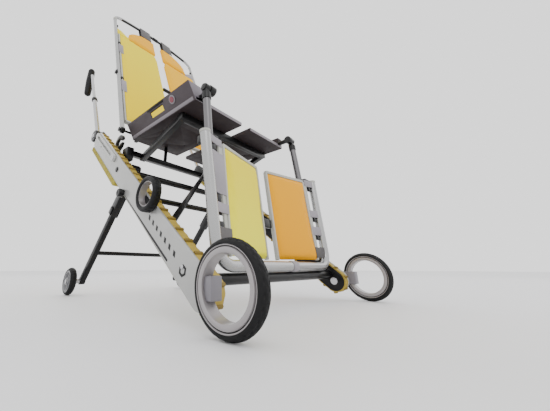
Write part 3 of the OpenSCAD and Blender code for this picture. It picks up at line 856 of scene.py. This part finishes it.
def swell(obj):
    """Fills a pad with air for a few frames, then caps how far each point has moved."""
    remesh = obj.modifiers.new("remesh", "REMESH")
    remesh.mode = "VOXEL"
    remesh.voxel_size = PAD_VOXEL
    apply_modifiers(obj)
    before = [v.co.copy() for v in obj.data.vertices]
    cloth = obj.modifiers.new("cloth", "CLOTH")
    cloth.settings.use_pressure = True
    cloth.settings.uniform_pressure_force = 4
    cloth.settings.tension_stiffness = 12
    cloth.settings.bending_stiffness = 0.6
    cloth.settings.effector_weights.gravity = 0
    cloth.settings.quality = 5
    cloth.point_cache.frame_start = 1
    cloth.point_cache.frame_end = PAD_FRAMES
    scene = bpy.context.scene
    for f in range(1, PAD_FRAMES + 1):
        scene.frame_set(f)
    graph = bpy.context.evaluated_depsgraph_get()
    after = [v.co.copy() for v in obj.evaluated_get(graph).data.vertices]
    obj.modifiers.clear()
    scene.frame_set(1)
    for v, a, b in zip(obj.data.vertices, before, after):
        move = b - a
        if move.length > PAD_SWELL:
            move = move.normalized() * PAD_SWELL
        v.co = a + move
    return obj


def refine(obj):
    """One level of subdivision, shaded smooth."""
    sub = obj.modifiers.new("sub", "SUBSURF")
    sub.levels = 1
    sub.render_levels = 1
    apply_modifiers(obj)
    return smooth(obj, 70)


def soft_pair(names, outline, thick, matrix, body, materials, slots, nodes):
    """The same pad for the right and the left, from an outline of (x, z).
    """
    pad = prism("pad", [(x, -thick / 2, z) for x, z in outline],
                [(x, thick / 2, z) for x, z in outline])
    swell(pad)
    refine(pad)
    for (_, side), name, material, slot, node in zip(SIDES, names, materials, slots, nodes):
        mesh = pad.data.copy()
        obj = bpy.data.objects.new(name, mesh)
        bpy.context.collection.objects.link(obj)
        mesh.transform(matrix)
        if side < 0:
            mesh.transform(Matrix.Scale(-1, 4, (1, 0, 0)))
            mesh.flip_normals()
        if node:
            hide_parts(node)
        dress(obj, body, material)
    bpy.data.objects.remove(pad)


def rounded(points, radius, steps=6):
    """An outline with its corners rounded."""
    result = []
    n = len(points)
    for i in range(n):
        p = Vector(points[i])
        a = Vector(points[i - 1]) - p
        b = Vector(points[(i + 1) % n]) - p
        r = min(radius, a.length * 0.45, b.length * 0.45)
        start, end = p + a.normalized() * r, p + b.normalized() * r
        for k in range(steps + 1):
            t = k / steps
            q = start * (1 - t) ** 2 + p * 2 * t * (1 - t) + end * t * t
            result.append((q.x, q.y))
    return result


PANEL = [(0.017, 0.048), (0.240, 0.048), (0.240, 0.690), (0.031, 0.690), (0.017, 0.630)]
soft_pair(("back_cloth_right", "back_cloth_left"), rounded(PANEL, 0.008), 0.011, BACK,
          "backrest", ("yellow", "amber"), ("fabric_yellow", "fabric_orange"),
          ("back_panel_right", "back_panel_left"))
HEAD_PAD = [(0.022, 0.693), (0.188, 0.693), (0.188, 0.725)]
HEAD_PAD += [(x, 0.830 - 0.075 * (abs(x - 0.06) / 0.122) ** 2.4)
             for x in (0.182 - 0.160 * i / 16 for i in range(17))]
soft_pair(("head_pad_right", "head_pad_left"), rounded(HEAD_PAD, 0.006, 3), 0.013, BACK,
          "backrest", ("orange", "orange"), ("fabric_orange", "fabric_orange"),
          ("head_pads", None))
LEG_PANEL = (LEG @ Matrix.Translation((0.022, 0.0375, -0.260))
             @ Matrix.Rotation(math.radians(-10), 4, "Z"))
soft_pair(("leg_cloth_right", "leg_cloth_left"),
          rounded([(0, 0), (0.172, 0), (0.172, 0.252), (0, 0.252)], 0.006), 0.009, LEG_PANEL,
          "leg_rest", ("lime", "orange"), ("fabric_yellow", "fabric_orange"),
          ("leg_panel_right", "leg_panel_left"))


# ---- backrest tube, tabs and latches ----

# the side tube's X, the height where it bends, the bend's radius and its turn in degrees
BACK_X, BACK_STRAIGHT, CORNER, TURN = 0.251, 0.835, 0.050, 76
ARCH_R = (BACK_X - CORNER) / math.cos(math.radians(TURN)) + CORNER
ARCH_Z = BACK_STRAIGHT - (ARCH_R - CORNER) * math.sin(math.radians(TURN))


def arch_edge(offset, xs):
    """Points of (x, z) at each x, on the arch's curve moved outwards by offset."""
    return [(x, ARCH_Z + math.sqrt((ARCH_R + offset) ** 2 - x ** 2)) for x in xs]


def on_back(obj, material):
    return dress(obj, "backrest", material)


def on_leg(obj, material):
    return dress(obj, "leg_rest", material)


def web(name, low, high, side):
    """A strap of webbing from a back panel to the tube, between corners low and high in (x, z)."""
    outline = [(low[0], low[1]), (high[0], low[1] + 0.004), (high[0], high[1] - 0.004),
               (low[0], high[1])]
    obj = flat_piece(name, outline, -0.0086, 0.0086, BACK, side, 0.002)
    return on_back(obj, "tab_grey")


def back_tube(side, tag):
    """One half of the backrest's tube, with its fittings, straps and bindings."""
    path = [(BACK_X, 0, 0.005 + 0.83 * i / 12) for i in range(13)]
    path += [(x, 0, z) for x, z in arc((BACK_X - CORNER, BACK_STRAIGHT), CORNER, 0, TURN, 14)[1:]]
    path += [(x, 0, z) for x, z in arc((0, ARCH_Z), ARCH_R, TURN, 90, 18)[1:]]
    tube = sweep(f"back_frame_{tag}", path, 0.008, BACK, side, 32)
    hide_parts(f"back_tube_{tag}")
    on_back(tube, "tube_silver")
    profile = [(0.244, 0.009), (0.2455, 0.011), (0.2565, 0.011), (0.258, 0.009)]
    eye = spindle(f"back_eye_{tag}", profile, (0, 0), BACK, side)
    on_back(eye, "frame_black")
    sleeve = sweep(f"back_sleeve_{tag}", [(BACK_X, 0, 0.827), (BACK_X, 0, 0.843)], 0.0088,
                   BACK, side)
    on_back(sleeve, "edge_grey")
    profile = [(0.2585, 0.006), (0.2605, 0.0095), (0.2635, 0.0095), (0.2645, 0.007)]
    turn = spindle(f"back_knob_{tag}", profile, (0.002, 0.347), BACK, side, 20)
    on_back(turn, "knob_plastic")
    body = block(f"back_knob_body_{tag}", (0.2545, -0.006, 0.333), (0.2595, 0.0075, 0.361),
                 BACK, side, 0.003)
    on_back(body, "knob_plastic")
    for i, z in enumerate((0.596, 0.310)):
        clip = block(f"back_clip_{i}_{tag}", (0.2335, -0.0098, z - 0.007),
                     (0.2445, 0.0098, z + 0.007), BACK, side, 0.0022)
        on_back(clip, "knob_plastic")
        web(f"back_tab_{i}_{tag}", (0.2225, z - 0.088), (0.2455, z - 0.012), side)
    corner_clip = block(f"back_clip_top_{tag}", (0.2375, -0.006, 0.764),
                        (0.2445, 0.006, 0.776), BACK, side, 0.002)
    on_back(corner_clip, "knob_plastic")
    outline = [(0.150, 0.694), (0.2445, 0.694), (0.2445, 0.742), (0.222, 0.738), (0.196, 0.716)]
    shoulder = flat_piece(f"shoulder_tab_{tag}", outline, -0.0035, 0.0035, BACK, side, 0.0015)
    if side < 0:
        on_back(shoulder, "lime")
    else:
        on_back(shoulder, "tab_grey")
    # painted shade: a black band that shows only along the arch's underside, where the top tube
    # lies in shade seen from below
    curve = arc((0, ARCH_Z), ARCH_R - 0.0032, TURN, 90, 18)
    arch_shade_band = sweep(f"arch_underside_shade_{tag}", [(x, -0.0005, z) for x, z in curve], 0.0062, BACK,
                   side, 24)
    on_back(arch_shade_band, "knob_plastic")
    edge = block(f"back_binding_{tag}", (0.2345, -0.0073, 0.052), (0.2415, 0.0073, 0.686),
                 BACK, side, 0.002)
    on_back(edge, "edge_grey")
    hem = block(f"back_hem_{tag}", (0.019, -0.0075, 0.046), (0.238, 0.0075, 0.055), BACK, side,
                0.002)
    on_back(hem, "edge_grey")
    outward = (0.040, 0.060, 0.080, 0.104)
    outline = [(0.040, 0.820), (0.104, 0.820)] + arch_edge(0.009, outward[::-1])
    for face, y in (("front", -0.0104), ("rear", 0.0084)):
        hang = flat_piece(f"head_tab_{face}_{tag}", outline, y, y + 0.002, BACK, side, 0.0008)
        on_back(hang, "tab_dark")
    outline = arch_edge(0.0082, outward) + arch_edge(0.0102, outward[::-1])
    over = flat_piece(f"head_tab_top_{tag}", outline, -0.0104, 0.0104, BACK, side, 0.0006)
    on_back(over, "tab_dark")


for tag, side in SIDES:
    back_tube(side, tag)
coupler = sweep("arch_coupler", [(x, 0, ARCH_Z + ARCH_R) for x in (-0.016, 0.016)], 0.0094,
                BACK)
on_back(coupler, "knob_plastic")
latch = block("back_latch", (-0.016, -0.0085, 0.058), (0.016, 0.0075, 0.078), BACK, 1, 0.003)
on_back(latch, "knob_plastic")
upper_latch = block("back_latch_upper", (-0.021, -0.008, 0.400), (0.021, 0.007, 0.412), BACK, 1,
                    0.002)
on_back(upper_latch, "knob_plastic")


# ---- leg rest ----

# the side tube's X at its top, its lean in degrees, its bend's radius and its drop
LEG_X, TAPER, LEG_CORNER, DROP = 0.249, 3.56, 0.045, 0.275
LEG_CENTRE = (LEG_X - (DROP - LEG_CORNER) * math.tan(math.radians(TAPER))
              - LEG_CORNER / math.cos(math.radians(TAPER)))
HANGER_X, HANGER_LEAN = 0.212, 5.5


def leg_tube_x(z):
    """X of the side tube's middle at a height z, which is negative below its top."""
    return LEG_X + z * math.tan(math.radians(TAPER))


def leg_frame(side, tag):
    """One half of the leg rest's tube, and the hanger that it swings from."""
    path = [(leg_tube_x(-0.23 * i / 8), 0, -0.23 * i / 8) for i in range(9)]
    bend = arc((LEG_CENTRE, LEG_CORNER - DROP), LEG_CORNER, -TAPER, -90, 16)
    path += [(x, 0, z) for x, z in bend[1:]]
    path += [(LEG_CENTRE * (1 - i / 6), 0, -DROP) for i in range(1, 7)]
    tube = sweep(f"leg_tube_{tag}", path, 0.0115, LEG, side, 36)
    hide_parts(f"leg_frame_{tag}")
    on_leg(tube, "tube_silver")
    cap = sweep(f"leg_cap_{tag}", [(leg_tube_x(0.0), 0, -0.004), (leg_tube_x(0.003), 0, 0.0015)],
                0.0121, LEG, side, 36)
    on_leg(cap, "edge_grey")
    low = ELBOW + Vector((0, -0.002, -0.022))
    lean = math.radians(HANGER_LEAN)
    axis = Vector((0, -math.sin(lean), -math.cos(lean)))
    start = Vector((HANGER_X, low.y, low.z))
    # the hanger's darker metal is painted shade on a silver tube
    hanger = sweep(f"leg_hanger_{tag}", [start + axis * t for t in (0, 0.05, 0.132)], 0.010,
                   HERE, side, 32)
    on_leg(hanger, "hanger_shaded_silver")
    collar = sweep(f"leg_collar_{tag}", [start + axis * t for t in (-0.004, 0.014)], 0.0118,
                   HERE, side, 32)
    on_leg(collar, "knob_plastic")
    profile = [(0.2033, 0.0095), (0.2045, 0.0112), (0.2185, 0.0112), (0.2197, 0.0095)]
    drum = spindle(f"leg_drum_{tag}", profile, (ELBOW.y, ELBOW.z), HERE, side)
    on_leg(drum, "knob_plastic")
    neck = block(f"leg_neck_{tag}", (0.2036, ELBOW.y - 0.008, ELBOW.z - 0.024),
                 (0.2194, ELBOW.y + 0.008, ELBOW.z - 0.004), HERE, side, 0.002)
    on_leg(neck, "knob_plastic")
    bracket = block(f"leg_bracket_{tag}", (0.206, 0.110 + AXLE.y, 0.350),
                    (0.242, 0.144 + AXLE.y, 0.370), HERE, side, 0.003)
    on_leg(bracket, "knob_plastic")


def leg_trim(side, tag):
    """Binding on a panel's edges, in the panel's own place."""
    half = 0.0058
    for edge, low, high in (("top", (0.001, -half, 0.2445), (0.171, half, 0.2532)),
                            ("inner", (-0.0012, -half, 0.003), (0.0055, half, 0.248)),
                            ("outer", (0.1665, -half, 0.003), (0.1732, half, 0.248))):
        strip = block(f"leg_binding_{edge}_{tag}", low, high, LEG_PANEL, side, 0.0018)
        on_leg(strip, "edge_grey")


def leg_tab(name, z, height, material, side):
    """A strap from a panel's outer edge to the inside of the side tube, at height z."""
    x = leg_tube_x(z)
    path = [(x - 0.0065, -0.0045), (x - 0.014, -0.0035), (x - 0.030, 0.0010), (x - 0.052, 0.0035)]
    obj = ribbon(name, path, 0.003, z - height / 2, z + height / 2, LEG, side)
    return on_leg(obj, material)


def leg_rail(side, tag):
    """The strip of webbing along the panel's outer edge that the straps are sewn to."""
    outline = [(0.1675, 0.002), (0.1815, 0.010), (0.1885, 0.246), (0.1675, 0.252)]
    obj = flat_piece(f"leg_rail_{tag}", outline, -0.0030, 0.0030, LEG_PANEL, side, 0.0012)
    return on_leg(obj, "edge_grey")


# each strap's height on the side tube and how tall it is, on each side; the lowest is dark
LEG_TABS = {"right": ((-0.012, 0.018), (-0.088, 0.095), (-0.165, 0.020), (-0.222, 0.036)),
            "left": ((-0.014, 0.022), (-0.118, 0.022), (-0.172, 0.026), (-0.236, 0.030))}
LEG_CLIPS = ((-1, -0.028), (-1, -0.145), (-1, -0.200), (1, -0.030), (1, -0.134), (1, -0.190))

for tag, side in SIDES:
    leg_frame(side, tag)
    leg_trim(side, tag)
    leg_rail(side, tag)
for tag, side in SIDES:
    for i, (z, height) in enumerate(LEG_TABS[tag]):
        leg_tab(f"leg_tab_{i}_{tag}", z, height, "tab_dark" if i == 3 else "tab_grey", side)
for i, (side, z) in enumerate(LEG_CLIPS):
    x = leg_tube_x(z)
    clip = block(f"leg_clip_{i}", (x - 0.030, 0.000, z - 0.008), (x - 0.009, 0.009, z + 0.008),
                 LEG, side, 0.002)
    on_leg(clip, "knob_plastic")
coupler = sweep("leg_coupler", [(0.018, 0, -DROP), (0.042, 0, -DROP)], 0.0127, LEG)
on_leg(coupler, "tab_grey")
latch = block("leg_latch", (-0.020, 0.0365, -0.176), (0.020, 0.0475, -0.152), LEG, 1, 0.004)
on_leg(latch, "knob_plastic")


# ---- floor, light and camera ----

FLOOR_WHITE, FLOOR_HALF = (0.80, 0.80, 0.81), 9
CAMERA_YAW, CAMERA_PITCH = 45.71, 20.36


def stage_material():
    m, tree, s = shader("floor_white", FLOOR_WHITE, 0.55)
    tinted(tree, s, noise(tree, coordinates(tree), 3), FLOOR_WHITE, 0.01)
    return m


floor_mesh = bpy.data.meshes.new("floor")
floor_mesh.from_pydata([(x * FLOOR_HALF, y * FLOOR_HALF, 0)
                        for x, y in ((-1, -1), (1, -1), (1, 1), (-1, 1))], [], [(0, 1, 2, 3)])
floor = bpy.data.objects.new("floor", floor_mesh)
bpy.context.collection.objects.link(floor)
floor.data.materials.append(stage_material())

world = bpy.data.worlds.new("studio")
world.use_nodes = True
background = world.node_tree.nodes["Background"]
background.inputs["Color"].default_value = (1, 1, 1, 1)
background.inputs["Strength"].default_value = 1.6
bpy.context.scene.world = world


def area_light(name, place, target, size, power):
    """A square light of a size in metres and a power in watts, turned to a target."""
    data = bpy.data.lights.new(name, "AREA")
    data.size = size
    data.energy = power
    obj = bpy.data.objects.new(name, data)
    obj.location = place
    obj.rotation_euler = (Vector(target) - Vector(place)).to_track_quat("-Z", "Y").to_euler()
    bpy.context.collection.objects.link(obj)


area_light("key", (-1.6, -2.2, 2.6), (0, 0, 0.5), 1.6, 16)
area_light("fill", (2.6, -1.4, 1.8), (0, 0, 0.5), 2.0, 8)
area_light("rim", (0.4, 2.6, 2.4), (0, 0, 0.7), 1.6, 16)

camera = bpy.data.objects.new("camera", bpy.data.cameras.new("camera"))
yaw, pitch = math.radians(CAMERA_YAW), math.radians(CAMERA_PITCH)
ahead = Vector((math.sin(yaw) * math.cos(pitch), math.cos(yaw) * math.cos(pitch),
                math.sin(pitch)))
camera.location = (-0.5805, -0.7355, 0.0891)
camera.rotation_euler = ahead.to_track_quat("-Z", "Y").to_euler()
camera.data.sensor_width = 36
camera.data.lens = 16.95
camera.data.shift_x = 0.10
camera.data.shift_y = -0.0618
camera.data.clip_start = 0.01
bpy.context.collection.objects.link(camera)
bpy.context.scene.camera = camera
